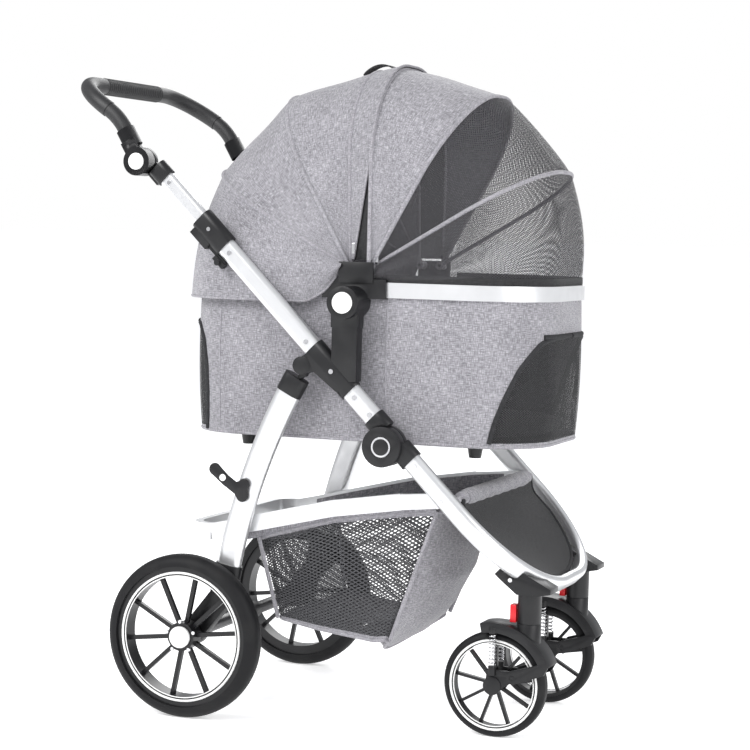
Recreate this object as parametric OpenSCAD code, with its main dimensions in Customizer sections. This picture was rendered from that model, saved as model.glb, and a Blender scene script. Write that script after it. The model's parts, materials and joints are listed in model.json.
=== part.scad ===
// Pet stroller with a lift-off carrier, a folding chassis and swivelling front wheels.
// X points forward, Y to the stroller's left and Z up. The floor is Z = 0.

/* [Overall] */
// Length from the handle bar to the front mudguards
overall_l = 873; // [760:1:980]
// How far the handle bar stands behind the rear axle
handle_overhang = 263; // [200:1:320]
// Distance between the planes of the two side frames
frame_track = 426; // [400:1:470]
// Slope of the push tubes and front frame from the floor
tube_angle = 45; // [43:0.5:47]

/* [Wheels] */
// Rear wheel diameter
rear_wheel_d = 275; // [240:1:300]
// Rear tyre width
rear_tyre_w = 42; // [34:1:46]
// Distance between the middles of the rear tyres
rear_track = 500; // [498:1:540]
// Front wheel diameter
front_wheel_d = 173.8; // [150:0.2:176]
// Front tyre width
front_tyre_w = 29; // [22:1:29]
// Distance between the middles of the front tyres
front_track = 288; // [270:1:300]
// Distance from the rear axle to the caster stems
caster_x = 568.6; // [540:0.2:590]
// How far the front axle trails its stem
caster_trail = 54.2; // [45:0.2:60]

/* [Tubes] */
// Width of the main flat-oval tubes
main_w = 34; // [30:0.5:36]
// Thickness of the main flat-oval tubes
main_t = 19; // [16:0.5:20]
// Wall of every metal tube
tube_wall = 1.6; // [1.2:0.1:2]
// Width of the upper sliding tubes
upper_w = 28.6; // [24:0.2:29]
// Thickness of the upper sliding tubes
upper_t = 14.6; // [11:0.2:15]
// Width of the rear leg tubes
leg_w = 42; // [36:0.5:44]
// Thickness of the rear leg tubes
leg_t = 20; // [16:0.5:20]
// Bend radius of the rear legs
leg_bend_r = 1100; // [1000:5:1300]
// Bend radius at the front corners
front_bend_r = 175; // [150:1:185]
// Length of the front frame from the fold joint to its crossbar
front_reach = 340; // [320:1:350]
// Diameter of the handle grip
grip_d = 28; // [24:0.5:32]

/* [Carrier] */
// Inside-to-inside width of the carrier shell
carrier_w = 356; // [330:1:360]
// Back end of the carrier
carrier_back_x = -56; // [-66:1:-40]
// Front end of the carrier
carrier_front_x = 576; // [560:1:580]
// Height of the carrier floor
carrier_floor_z = 485; // [480:1:500]
// Height of the top of the rim
rim_top_z = 737.5; // [730:0.5:742]
// Plan corner radius of the carrier
carrier_corner_r = 118; // [90:1:140]
// Diameter of the canopy bows
bow_d = 7; // [5:0.5:8]
// Height of the canopy pivots
canopy_z = 762; // [758:1:768]
// Thickness of the fabric
fabric_t = 2.4; // [1.6:0.2:3]

/* [Fits] */
// Radial play between a shaft and its hole
pivot_fit = 0.1; // [0.05:0.01:0.1]
// Play on each side of a button or sliding lever
slide_fit = 0.4; // [0.3:0.05:0.6]
// Gap between parts that turn against each other
turn_gap = 0.6; // [0.5:0.1:1]

/* [Parts] */
// Sub-part to draw, or all of them

/* [Hidden] */
$fn = 48;
rear_axle_x = -overall_l / 2 + handle_overhang;
side_y = frame_track / 2;
rear_r = rear_wheel_d / 2;
front_r = front_wheel_d / 2;
rear_y = rear_track / 2;
front_y = front_track / 2;
front_axle_x = caster_x - caster_trail;

// Main joints, measured forward of the rear axle and up from the floor.
fold_at = [338, 473];
leg_hinge_at = [190, 598];
rail_front_at = [437, 388];
rail_rear_at = [74, 320];
handle_at = [-115.5, 928];
bar_at = [457, 391];
hub_at = [266, 704];
front_pivot_x = 289;
rear_pivot_x = 251;
susp_at = [549, 104];
fold_offset = 16.3;
tube_n = [sin(tube_angle), cos(tube_angle)];
tube_foot = fold_at + fold_offset * tube_n;

hub_r = 33;
knuckle_r = 13;
handle_hub_r = 24;
caster_top_z = 187;
stem_d = 39;
spring_r = 6.5;
spring_y = 22;
fender_r = 104;
rim_w = 8;
carrier_y = carrier_w / 2;
bow_step = bow_d + 1.5;
bow_outer_y = carrier_y + bow_d / 2 + 3;

// Named sub-parts of the stroller.

push_tubes();
upper_tubes();
collars();
junction_brackets();
carrier_sockets();
handle_hubs();
fold_hubs_upper();
push_frame_rivets();
fold_trigger_right();
fold_trigger_left();
handle_arms();
handle_grip();
handle_button_right();
handle_button_left();
front_frame_tube();
fold_hubs_lower();
footrest_bar();
footrest_panel();
caster_housings();
front_frame_rivets();
lock_lever_right();
lock_lever_left();
caster_fork_right();
caster_fork_left();
suspension_arm_right();
suspension_arm_left();
shock_springs_right();
shock_springs_left();
front_tyre_right();
front_tyre_left();
front_rim_right();
front_rim_left();
rear_legs();
axle_brackets();
rear_axle();
fold_strap();
brake_pedal();
rear_tyre_right();
rear_tyre_left();
rear_rim_right();
rear_rim_left();
hub_cap_right();
hub_cap_left();
basket_rail();
basket_bag();
carrier_rim();
carrier_tub();
carrier_hubs();
release_button_right();
release_button_left();
carrier_base();
cushion();
fixed_bows();
hood_bow_front();
hood_bow_middle();
hood_bow_rear_zip();
hood_bow_rear_middle();
front_hood_fabric();
front_hood_mesh();
rear_hood_fabric();

// ---- Placing and drawing aids ----

// Moves a drawing made from the rear axle into the stroller's own frame.
module from_axle() {
  translate([rear_axle_x, 0, 0]) children();
}

// Draws the left piece and its mirror image on the right.
module both_sides() {
  children();
  mirror([0, 1, 0]) children();
}

module right_side() {
  mirror([0, 1, 0]) children();
}

// Thickens a side-view outline between two distances from the middle plane.
module slab(y0, y1) {
  translate([0, y1, 0])
    rotate([90, 0, 0])
      linear_extrude(y1 - y0) children();
}

module disc(at, r, y0, y1) {
  slab(y0, y1)
    translate(at)
      circle(r);
}

// Side frame plane, with Z running up and back along the push tube.
module on_tube(s) {
  translate([tube_foot[0], side_y, tube_foot[1]])
    rotate([0, tube_angle - 90, 0])
      translate([0, 0, s]) children();
}

module flat_oval(w, t) {
  square([w - t, t], center = true);
  for (side = [-1, 1])
    translate([side * (w - t) / 2, 0])
      circle(d = t);
}

module oval_ring(w, t, wall) {
  difference() {
    flat_oval(w, t);
    flat_oval(w - 2 * wall, t - 2 * wall);
  }
}

// Stands a flat drawing up in a plane leaning at the given angle.
// Its X runs across the stroller and its Y runs out along the angle.
module leaning(at, angle) {
  translate([at[0], 0, at[1]])
    rotate([0, 180 - angle, 0])
      rotate([0, 0, 90]) children();
}

// Round U-shaped bow with two legs and a rounded top.
module bow(half_w, reach, bend_r, start) {
  for (side = [0, 1])
    mirror([side, 0, 0]) {
      translate([half_w, start, 0])
        rotate([-90, 0, 0]) cylinder(d = bow_d, h = reach - bend_r - start);
      translate([half_w - bend_r, reach - bend_r, 0])
        rotate_extrude(angle = 90)
          translate([bend_r, 0]) circle(d = bow_d);
    }
  translate([bend_r - half_w, reach, 0])
    rotate([0, 90, 0]) cylinder(d = bow_d, h = 2 * (half_w - bend_r));
}

module bow_eye(half_w) {
  for (side = [-1, 1])
    translate([side * half_w - bow_d / 2 - 0.5, 0, 0])
      rotate([0, 90, 0]) cylinder(r = 7, h = bow_d + 1);
}

module hinged_bow(pivot_x, angle, half_w, reach, bend_r) {
  leaning([pivot_x, canopy_z], angle)
    difference() {
      union() {
        bow(half_w, reach, bend_r, 4);
        bow_eye(half_w);
      }
      translate([-half_w - bow_d, 0, 0])
        rotate([0, 90, 0]) cylinder(r = 3 + pivot_fit, h = 2 * (half_w + bow_d));
    }
}

// Skin swept round a canopy pivot between two angles.
module canopy_skin(pivot_x, from, to, half_w, reach, bend_r, inner) {
  translate([pivot_x, 0, canopy_z])
    rotate([90, 0, 0])
      rotate_extrude(angle = to - from, start = from)
        difference() {
          arch(inner, half_w, reach, bend_r);
          arch(0, half_w - fabric_t, reach - fabric_t, bend_r - fabric_t);
        }
}

module arch(inner, half_w, reach, bend_r) {
  translate([inner, -half_w])
    square([reach - bend_r - inner, 2 * half_w]);
  translate([0, bend_r - half_w])
    square([reach, 2 * (half_w - bend_r)]);
  for (side = [-1, 1])
    intersection() {
      translate([reach - bend_r, side * (half_w - bend_r)])
        circle(bend_r, $fn = 72);
      translate([inner, -half_w])
        square([reach, 2 * half_w]);
    }
}

// Plan of the carrier, shrunk by an inset.
module carrier_plan(inset) {
  r = carrier_corner_r - inset;
  x0 = carrier_back_x + inset;
  x1 = carrier_front_x - inset;
  y1 = carrier_y - inset;
  translate([x0 + r, -y1]) square([x1 - x0 - 2 * r, 2 * y1]);
  translate([x0, r - y1]) square([x1 - x0, 2 * (y1 - r)]);
  for (x = [x0 + r, x1 - r])
    for (y = [-1, 1])
      translate([x, y * (y1 - r)]) circle(r, $fn = 72);
}

// ---- Push frame ----

module push_tubes() {
  color("#D9DBDD") from_axle() both_sides()
    on_tube(36)
      linear_extrude(408.8) oval_ring(main_w, main_t, tube_wall);
}

module upper_tubes() {
  color("#D9DBDD") from_axle() both_sides()
    on_tube(380)
      linear_extrude(233) oval_ring(upper_w, upper_t, tube_wall);
}

module collars() {
  color("#25262A") from_axle() both_sides()
    difference() {
      union() {
        on_tube(430)
          linear_extrude(66) translate([1, 0]) flat_oval(main_w + 7, main_t + 5.4);
        on_tube(452)
          translate([-29, -8, 0]) cube([14, 16, 40]);
      }
      on_tube(429)
        linear_extrude(16) flat_oval(main_w, main_t);
      on_tube(429)
        linear_extrude(70) flat_oval(upper_w, upper_t);
      on_tube(429)
        translate([-24, -4 - slide_fit, 0]) cube([6.4, 8 + 2 * slide_fit, 70]);
    }
}

module junction_brackets() {
  lug_y = knuckle_half_t() + turn_gap;
  color("#25262A") from_axle() both_sides() {
    difference() {
      union() {
        on_tube(105)
          linear_extrude(97) flat_oval(main_w + 6, main_t + 6);
        disc(leg_hinge_at, 15, side_y - 12.5, side_y + 12.5);
        slab(side_y - 11.9, side_y + 11.9)
          polygon([[181, 607], [204, 622], [262, 566], [256, 555], [213, 588], [193, 585]]);
      }
      on_tube(100)
        linear_extrude(130) flat_oval(main_w, main_t);
      slab(side_y - lug_y, side_y + lug_y)
        translate(leg_hinge_at) circle(knuckle_r + 3);
    }
    disc(leg_hinge_at, 4, side_y - 12.5, side_y + 12.5);
  }
}

function knuckle_half_t() = 6;

module carrier_sockets() {
  color("#25262A") from_axle() both_sides()
    difference() {
      translate([243, side_y - 12, 575]) cube([44, 24, 87.7]);
      on_tube(60)
        linear_extrude(200) flat_oval(main_w + 6, main_t + 6.4);
      on_tube(60)
        translate([-60, -13, 0]) cube([60, 26, 200]);
      translate([251.5, side_y - 6.5, 628]) cube([27, 13, 40]);
    }
}

module handle_hubs() {
  color("#25262A") from_axle() both_sides()
    difference() {
      union() {
        disc(handle_at, handle_hub_r, side_y - 15.5, side_y - 3.4);
        on_tube(588)
          linear_extrude(27) flat_oval(upper_w + 6, upper_t + 6);
        on_tube(596)
          translate([-24, -15, 0]) cube([26, 8.8, 38]);
      }
      on_tube(580)
        linear_extrude(33.1) flat_oval(upper_w, upper_t);
      disc(handle_at, 4 + pivot_fit, side_y - 20, side_y);
    }
}

module fold_hubs_upper() {
  color("#25262A") from_axle() both_sides()
    difference() {
      union() {
        disc(fold_at, hub_r, side_y - 12, side_y + 2);
        on_tube(20)
          linear_extrude(28) flat_oval(main_w + 6, main_t + 6);
      }
      on_tube(36)
        linear_extrude(20) flat_oval(main_w, main_t);
      disc(fold_at, hub_r + turn_gap, side_y + 2, side_y + 30);
      disc(fold_at, 6 + pivot_fit, side_y - 20, side_y + 10);
    }
}

module push_frame_rivets() {
  color("#C9CBCD") from_axle() both_sides() {
    for (s = [54, 92, 216, 416])
      on_tube(s)
        translate([0, main_t / 2, 0])
          rotate([-90, 0, 0]) cylinder(r = 4, h = 1.6);
    on_tube(578)
      translate([0, upper_t / 2, 0])
        rotate([-90, 0, 0]) cylinder(r = 3.5, h = 1.6);
    on_tube(470)
      translate([1, main_t / 2 + 2.7, 0])
        rotate([-90, 0, 0]) cylinder(r = 3.5, h = 1.4);
    on_tube(150)
      translate([0, main_t / 2 + 3, 0])
        rotate([-90, 0, 0]) cylinder(r = 4, h = 1.4);
  }
}

// Sliding trigger on the back of each collar, with the latch pin it pulls.
module fold_trigger() {
  from_axle()
    on_tube(400) {
      translate([-23.6, -4, 8]) cube([5.6, 8, 62]);
      translate([-30, -7, 8]) cube([9, 14, 24]);
      translate([-27, -7, 20])
        rotate([-90, 0, 0]) cylinder(r = 5, h = 19);
    }
}

module fold_trigger_right() {
  color("#25262A") right_side() fold_trigger();
}

module fold_trigger_left() {
  color("#25262A") fold_trigger();
}

// ---- Handle ----

arm_len = 62;
arm_angle = 120;
grip_angle = 147;
elbow_r = 100;
arm_end = handle_at + arm_len * [cos(arm_angle), sin(arm_angle)];
elbow_c = arm_end + elbow_r * [cos(arm_angle + 90), sin(arm_angle + 90)];
elbow_end = elbow_c + elbow_r * [cos(grip_angle - 90), sin(grip_angle - 90)];
grip_reach = 84.9;
corner_r = grip_reach;

module handle_arms() {
  color("#25262A") from_axle() both_sides()
    difference() {
      union() {
        disc(handle_at, handle_hub_r, side_y - 2.8, side_y + 19.5);
        leaning(handle_at, arm_angle)
          translate([side_y, 29, 0])
            rotate([-90, 0, 0]) cylinder(d = grip_d + 4, h = arm_len - 29);
        leaning(handle_at, arm_angle)
          translate([side_y - 2.8, 10, -13]) cube([18.8, 30, 26]);
      }
      disc(handle_at, 14 + slide_fit, side_y + 9, side_y + 30);
      leaning(handle_at, arm_angle)
        translate([side_y, 40, 0])
          rotate([-90, 0, 0]) cylinder(d = grip_d - 5, h = 60);
    }
  color("#25262A") from_axle() both_sides()
    disc(handle_at, 4, side_y - 15.5, side_y - 2.8);
}

module handle_grip() {
  color("#1B1C1E") from_axle() {
    both_sides()
      translate([elbow_c[0], side_y, elbow_c[1]])
        rotate([90, 0, 0]) {
          rotate_extrude(angle = grip_angle - arm_angle - 0.03, start = arm_angle - 90)
            translate([elbow_r, 0]) circle(d = grip_d - 2);
          rotate(arm_angle - 90)
            translate([elbow_r, 1, 0])
              rotate([90, 0, 0]) cylinder(d = grip_d - 5, h = arm_len - 39);
        }
    leaning(elbow_end, grip_angle) {
      for (side = [0, 1])
        mirror([side, 0, 0])
          translate([side_y - corner_r, 0, 0])
            rotate_extrude(angle = 90)
              translate([corner_r, 0]) circle(d = grip_d);
      translate([corner_r - side_y, grip_reach, 0])
        rotate([0, 90, 0]) cylinder(d = grip_d, h = 2 * (side_y - corner_r));
    }
  }
}

module handle_button() {
  from_axle()
    disc(handle_at, 14, side_y + 14, side_y + 21.5);
}

module handle_button_right() {
  color("#F0F0EE") right_side() handle_button();
}

module handle_button_left() {
  color("#F0F0EE") handle_button();
}

// ---- Front frame ----

// Flat-oval U in the plane of the push tubes, grown by a margin.
module front_u(w, t) {
  straight = front_reach - front_bend_r;
  for (side = [0, 1])
    mirror([side, 0, 0]) {
      translate([side_y, 36, 0])
        rotate([-90, 0, 0]) linear_extrude(straight - 36) rotate(90) flat_oval(w, t);
      translate([side_y - front_bend_r, straight, 0])
        rotate_extrude(angle = 90)
          translate([front_bend_r, 0]) rotate(90) flat_oval(w, t);
    }
  translate([front_bend_r - side_y, front_reach, 0])
    rotate([0, 90, 0])
      linear_extrude(2 * (side_y - front_bend_r)) flat_oval(w, t);
}

module in_front_plane() {
  leaning(tube_foot, -tube_angle) children();
}

module front_frame_tube() {
  color("#D9DBDD") from_axle()
    in_front_plane()
      difference() {
        front_u(main_w - 1, main_t - 1);
        front_u(main_w - 1 - 2 * tube_wall, main_t - 1 - 2 * tube_wall);
      }
}

module fold_hubs_lower() {
  color("#25262A") from_axle() both_sides()
    difference() {
      union() {
        disc(fold_at, hub_r, side_y + 2 + turn_gap, side_y + 24);
        on_tube(-48)
          linear_extrude(30) flat_oval(main_w + 6, main_t + 6);
      }
      on_tube(-56)
        linear_extrude(20) flat_oval(main_w - 1, main_t - 1);
      disc(fold_at, hub_r + turn_gap, side_y - 30, side_y + 2 + turn_gap);
      disc(fold_at, 17, side_y + 22, side_y + 30);
      disc(fold_at, 6, side_y, side_y + 10);
    }
  color("#25262A") from_axle() both_sides()
    disc(fold_at, 6, side_y - 14, side_y + 10);
}

module footrest_bar() {
  color("#6E7074") from_axle() {
    disc(bar_at, 11, -(side_y - 32), side_y - 32);
    both_sides()
      disc(bar_at, 5.5, side_y - 32, side_y - (main_t - 1) / 2);
  }
}

module footrest_panel() {
  panel_y = side_y - 27;
  end = front_reach - 28;
  half = [[panel_y, 164], [panel_y, 205], [panel_y - 14, 240], [panel_y - 36, 258],
    [front_y - 32, 258], [front_y - 32, end - 16], [front_y - 54, end]];
  color("#2B2C2F") from_axle()
    in_front_plane()
      translate([0, 0, 2])
        linear_extrude(3)
          polygon(concat(half, [for (i = [len(half) - 1 : -1 : 0]) [-half[i][0], half[i][1]]]));
}

// Housings clamped on the front frame, each ending in a vertical caster stem.
module caster_housing() {
  translate([0, front_y, 0])
    difference() {
      union() {
        translate([caster_x, 0, 192]) cylinder(d = stem_d, h = 66);
        translate([514, 22, 0]) rotate([90, 0, 0])
          linear_extrude(44)
            polygon([[0, 271], [12, 284], [28, 286], [95, 252], [95, 244], [74, 240],
              [38, 240], [10, 262]]);
      }
      translate([caster_x, 0, 190]) cylinder(d = 12 + 2 * pivot_fit, h = 51);
      translate([547, -4 - slide_fit, 194 - slide_fit]) cube([11, 8 + 2 * slide_fit, 30]);
    }
}

module caster_housings() {
  color("#25262A") from_axle() both_sides()
    difference() {
      caster_housing();
      in_front_plane() front_u(main_w - 1, main_t - 1);
    }
}

module front_frame_rivets() {
  color("#C9CBCD") from_axle() both_sides() {
    disc([391, 443], 4, side_y + main_t / 2 - 0.5, side_y + main_t / 2 + 1.1);
    disc(rail_front_at, 4.5, side_y - 16, side_y - main_t / 2 + 0.5);
    disc(rail_front_at, 4, side_y + main_t / 2 - 0.5, side_y + main_t / 2 + 1.1);
    disc(fold_at, 16.5, side_y + 22, side_y + 25);
    translate([541, front_y + 22, 263])
      rotate([-90, 0, 0]) cylinder(r = 3.5, h = 1.5);
  }
}

module lock_lever() {
  from_axle()
    translate([0, front_y, 0]) {
      translate([538, -9, 192]) cube([10.4, 18, 29]);
      translate([548, -4, 194]) cube([7.6, 8, 18]);
    }
}

module lock_lever_right() {
  color("#D3202A") right_side() lock_lever();
}

module lock_lever_left() {
  color("#D3202A") lock_lever();
}

// ---- Casters ----

module around_front_axle() {
  translate([front_axle_x, front_y, front_r]) rotate([90, 0, 0]) children();
}

module caster_fork() {
  from_axle() {
    difference() {
      union() {
        translate([caster_x, front_y, 160]) cylinder(d = stem_d, h = caster_top_z + 4.4 - 160);
        translate([caster_x, front_y, 180]) cylinder(d = 12, h = 58);
        around_front_axle()
          rotate_extrude(angle = 80.5, start = 22) {
            translate([fender_r - 10, -25]) square([10, 50]);
            for (side = [-1, 1])
              translate([fender_r - 16, side * 22.5 - 2.5]) square([8, 5]);
          }
        for (side = [-1, 1])
          translate([front_axle_x, front_y + side * spring_y, 173])
            cylinder(r = spring_r, h = 10);
        for (side = [-1, 1])
          translate([0, front_y + side * 22.4 + 2.6, 0]) rotate([90, 0, 0])
            linear_extrude(5.2)
              polygon([[610, 127], [602, 112], [552, 93], [541, 98], [540, 108], [547, 115],
                [590, 128], [596, 136]]);
      }
      around_front_axle()
        translate([0, 0, -20]) cylinder(r = fender_r - 10, h = 40, $fn = 96);
      around_front_axle()
        for (side = [-1, 1])
          translate([susp_at[0] - front_axle_x, susp_at[1] - front_r, side * 22.4 - 4])
            cylinder(r = 4 + pivot_fit, h = 8);
    }
  }
}

module caster_fork_right() {
  color("#25262A") right_side() caster_fork();
}

module caster_fork_left() {
  color("#25262A") caster_fork();
}

module suspension_arm() {
  pivot = [susp_at[0] - front_axle_x, susp_at[1] - front_r];
  inner = front_tyre_w / 2 + 0.7;
  from_axle()
    around_front_axle() {
      for (side = [0, 1])
        mirror([0, 0, side]) {
          translate([0, 0, inner])
            linear_extrude(4)
              polygon([[-13, -8], [-10, 24], [8, 26], [pivot[0] - 4, pivot[1] + 9],
                [pivot[0] + 7, pivot[1] + 5], [pivot[0] + 7, pivot[1] - 6],
                [pivot[0] - 4, pivot[1] - 9], [8, -11], [-4, -13]]);
          translate([0, 0, inner + 3]) cylinder(r = 15, h = 4);
          translate([pivot[0], pivot[1], inner]) cylinder(r = 4, h = 9.4);
        }
      cylinder(r = 4, h = 2 * inner + 2, center = true);
    }
  from_axle()
    for (side = [-1, 1])
      translate([front_axle_x, front_y + side * spring_y, 105])
        cylinder(r = spring_r, h = 15);
}

module suspension_arm_right() {
  color("#25262A") right_side() suspension_arm();
}

module suspension_arm_left() {
  color("#25262A") suspension_arm();
}

module shock_springs() {
  from_axle()
    for (side = [-1, 1])
      translate([front_axle_x, front_y + side * spring_y, 120.4])
        difference() {
          cylinder(r = spring_r, h = 52.2);
          translate([0, 0, -1]) cylinder(r = spring_r - 2, h = 55);
        }
}

module shock_springs_right() {
  color("#C9CBCD") right_side() shock_springs();
}

module shock_springs_left() {
  color("#C9CBCD") shock_springs();
}

// ---- Wheels ----

// Tyre outline with a rounded tread, drawn from its inner radius.
module tyre_half(r, inner_r, w) {
  crown = min(w * 0.42, (r - inner_r) * 0.9);
  translate([inner_r, -w / 2]) square([r - inner_r - crown, w]);
  translate([r - crown, crown - w / 2]) square([crown, w - 2 * crown]);
  for (side = [-1, 1])
    intersection() {
      translate([r - crown, side * (w / 2 - crown)]) circle(crown);
      translate([inner_r, -w / 2]) square([r, w]);
    }
}

module tyre(x, y, r, inner_r, w) {
  from_axle()
    translate([x, y, r])
      rotate([90, 0, 0])
        rotate_extrude($fn = 96) tyre_half(r, inner_r, w);
}

// Rim ring, spokes and bored hub.
module rim(x, y, r, outer_r, ring_r, w, spokes, spoke_w, rim_hub_r, bore_r, turn) {
  from_axle()
    translate([x, y, r])
      rotate([90, 0, 0])
        difference() {
          union() {
            rotate_extrude($fn = 96)
              translate([ring_r, -w / 2]) square([outer_r - ring_r, w]);
            cylinder(r = rim_hub_r, h = w, center = true);
            for (i = [0 : spokes - 1])
              rotate(turn + i * 360 / spokes)
                translate([rim_hub_r - 3, -spoke_w / 2, -rim_w / 2])
                  cube([ring_r - rim_hub_r + 5, spoke_w, rim_w]);
          }
          cylinder(r = bore_r, h = w + 10, center = true);
        }
}

module rear_tyre() {
  tyre(0, rear_y, rear_r, rear_r - 19.5, rear_tyre_w);
}

module rear_rim() {
  rim(0, rear_y, rear_r, rear_r - 19.5, rear_r - 36, rear_tyre_w - 10, 10, 7, 24,
    6 + pivot_fit, 7);
}

module front_tyre() {
  tyre(front_axle_x, front_y, front_r, front_r - 11, front_tyre_w);
}

module front_rim() {
  rim(front_axle_x, front_y, front_r, front_r - 11, front_r - 17, front_tyre_w - 3, 9, 5, 13,
    4 + pivot_fit, 10);
}

module rear_tyre_right() {
  color("#1B1C1E") right_side() rear_tyre();
}

module rear_tyre_left() {
  color("#1B1C1E") rear_tyre();
}

module rear_rim_right() {
  color("#25262A") right_side() rear_rim();
}

module rear_rim_left() {
  color("#25262A") rear_rim();
}

module front_tyre_right() {
  color("#1B1C1E") right_side() front_tyre();
}

module front_tyre_left() {
  color("#1B1C1E") front_tyre();
}

module front_rim_right() {
  color("#25262A") right_side() front_rim();
}

module front_rim_left() {
  color("#25262A") front_rim();
}

module hub_cap() {
  from_axle()
    disc([0, rear_r], 18, rear_y + rear_tyre_w / 2 - 5, rear_y + rear_tyre_w / 2 + 1.5);
}

module hub_cap_right() {
  color("#F0F0EE") right_side() hub_cap();
}

module hub_cap_left() {
  color("#F0F0EE") hub_cap();
}

// ---- Rear frame ----

leg_start = 150;
leg_c = leg_hinge_at - leg_bend_r * [cos(leg_start), sin(leg_start)];
leg_foot_angle = 171;
leg_top_turn = 1.5;

module leg_sweep(from, to) {
  translate([leg_c[0], side_y, leg_c[1]])
    rotate([90, 0, 0])
      rotate_extrude(angle = to - from, start = from, $fn = 360)
        translate([leg_bend_r, 0]) children();
}

module rear_legs() {
  color("#D9DBDD") from_axle() both_sides()
    leg_sweep(leg_start + leg_top_turn, leg_foot_angle) oval_ring(leg_w, leg_t, tube_wall);
}

module axle_brackets() {
  color("#25262A") from_axle() both_sides() {
    difference() {
      union() {
        leg_sweep(leg_start + 1.15, leg_start + 2.8) flat_oval(leg_w + 3, leg_t + 5);
        disc(leg_hinge_at, knuckle_r, side_y - 6, side_y + 6);
        slab(side_y - 6, side_y + 6)
          polygon([[186, 586], [200, 591], [196, 580], [176, 571]]);
      }
      leg_sweep(leg_start + leg_top_turn, leg_start + 3.5) flat_oval(leg_w, leg_t);
      disc(leg_hinge_at, 4 + pivot_fit, side_y - 20, side_y + 20);
    }
    difference() {
      union() {
        leg_sweep(leg_foot_angle - 2, leg_foot_angle + 0.6) flat_oval(leg_w + 5, leg_t + 5);
        slab(side_y - 12, side_y + 12)
          polygon([[34, 226], [34, 212], [-18, 146], [-16, 124], [0, 119], [18, 130],
            [80, 208], [80, 222]]);
        disc([0, rear_r], 21, side_y - 12, side_y + 12);
      }
      leg_sweep(leg_foot_angle - 3, leg_foot_angle) flat_oval(leg_w, leg_t);
      disc([0, rear_r], 6, 0, side_y + 30);
    }
    disc(rail_rear_at, 5, side_y - 14.4, side_y - leg_t / 2 - 0.05);
  }
}

module rear_axle() {
  color("#3A3B3F") from_axle() {
    disc([0, rear_r], 11, -(side_y - 12), side_y - 12);
    both_sides() {
      disc([0, rear_r], 6, side_y - 12, rear_y + rear_tyre_w / 2 - 5.5);
      disc([0, rear_r], 11, side_y + 12, rear_y - rear_tyre_w / 2 + 4.4);
    }
  }
}

// Folding hook on the right leg only.
module fold_strap() {
  color("#25262A") from_axle() right_side() {
    slab(side_y + 12.8, side_y + 15.6) {
      polygon([[31, 412], [47, 425], [64, 409], [79, 399], [91, 404], [101, 398],
        [98, 369], [83, 368], [76, 379], [53, 394]]);
      translate([39.5, 418]) circle(10.5);
      translate([93, 396]) circle(9.5);
      translate([90, 376]) circle(10);
    }
    disc([93, 396], 6, side_y + leg_t / 2, side_y + 13);
    disc([90, 376], 6, side_y + leg_t / 2, side_y + 13);
  }
  color("#F0F0EE") from_axle() right_side()
    disc([55, 405], 5.5, side_y + 15.6, side_y + 17);
}

module brake_pedal() {
  color("#25262A") from_axle() {
    translate([0, 0, rear_r])
      rotate([90, 0, 0])
        difference() {
          cylinder(r = 16, h = 60, center = true);
          cylinder(r = 11 + pivot_fit, h = 70, center = true);
        }
    translate([-62, -28, rear_r - 5]) cube([48, 56, 8]);
  }
}

// ---- Basket ----

rail_path = [[20, 308], [55, 316], [104, 329], [239, 362], [360, 381], [437, 388]];
rail_half = 13.5;
rail_y0 = side_y - 29;
rail_y1 = side_y - 15.2;
rail_bend_r = 40;

module rail_side_view() {
  last = len(rail_path) - 1;
  function slope(i) = let (a = rail_path[max(i - 1, 0)], b = rail_path[min(i + 1, last)])
    (b - a) / norm(b - a);
  function edge(i, k) = rail_path[i] + k * rail_half * [-slope(i)[1], slope(i)[0]];
  polygon(concat([for (i = [0 : last - 1]) edge(i, 1)],
    [for (i = [last - 1 : -1 : 0]) edge(i, -1)]));
}

module basket_rail() {
  mid = (rail_y0 + rail_y1) / 2;
  color("#D9DBDD") from_axle() {
    both_sides() {
      slab(rail_y0, rail_y1)
        difference() {
          union() {
            rail_side_view();
            translate(rail_front_at) circle(12);
            polygon([[352, 393], [437, 400], [437, 376], [352, 367]]);
          }
          translate(rail_front_at) circle(4.5 + pivot_fit);
        }
      translate([20, mid - rail_bend_r, 308])
        rotate([0, 0, 90])
          rotate_extrude(angle = 90, $fn = 48)
            translate([rail_bend_r, 0])
              square([rail_y1 - rail_y0, 2 * rail_half], center = true);
    }
    translate([20 - rail_bend_r, 0, 308])
      cube([rail_y1 - rail_y0, 2 * (mid - rail_bend_r), 2 * rail_half], center = true);
  }
}

bag_side = [[100, 304], [127, 163], [300, 130], [331, 142], [418, 356], [239, 342]];
bag_inner = [[104, 340], [129.5, 166], [300, 133.2], [328, 144.5], [420, 372], [239, 380]];

module bag_volume(outline, grow) {
  intersection() {
    slab(-200, 200) polygon(outline);
    translate([-100, 0, 0]) rotate([90, 0, 90])
      linear_extrude(600)
        polygon([[-148 - grow, 100], [148 + grow, 100], [rail_y0 - 4.6 + grow, 300],
          [rail_y0 - 4.6 + grow, 420], [4.6 - rail_y0 - grow, 420],
          [4.6 - rail_y0 - grow, 300]]);
  }
}

module basket_bag() {
  color("#8B8D90") from_axle()
    difference() {
      bag_volume(bag_side, fabric_t);
      bag_volume(bag_inner, 0);
    }
}

// ---- Carrier ----

module carrier_rim() {
  color("#D9DBDD") from_axle()
    difference() {
      translate([0, 0, rim_top_z - 25]) linear_extrude(25) carrier_plan(-7);
      translate([0, 0, rim_top_z - 30]) linear_extrude(35) carrier_plan(-0.4);
      translate([-200, -300, rim_top_z - 40]) cube([522, 600, 80]);
    }
}

module carrier_tub() {
  color("#8B8D90") from_axle()
    difference() {
      translate([0, 0, carrier_floor_z])
        linear_extrude(rim_top_z - carrier_floor_z) carrier_plan(0);
      translate([0, 0, carrier_floor_z + fabric_t])
        linear_extrude(300) carrier_plan(fabric_t);
    }
}

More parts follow.
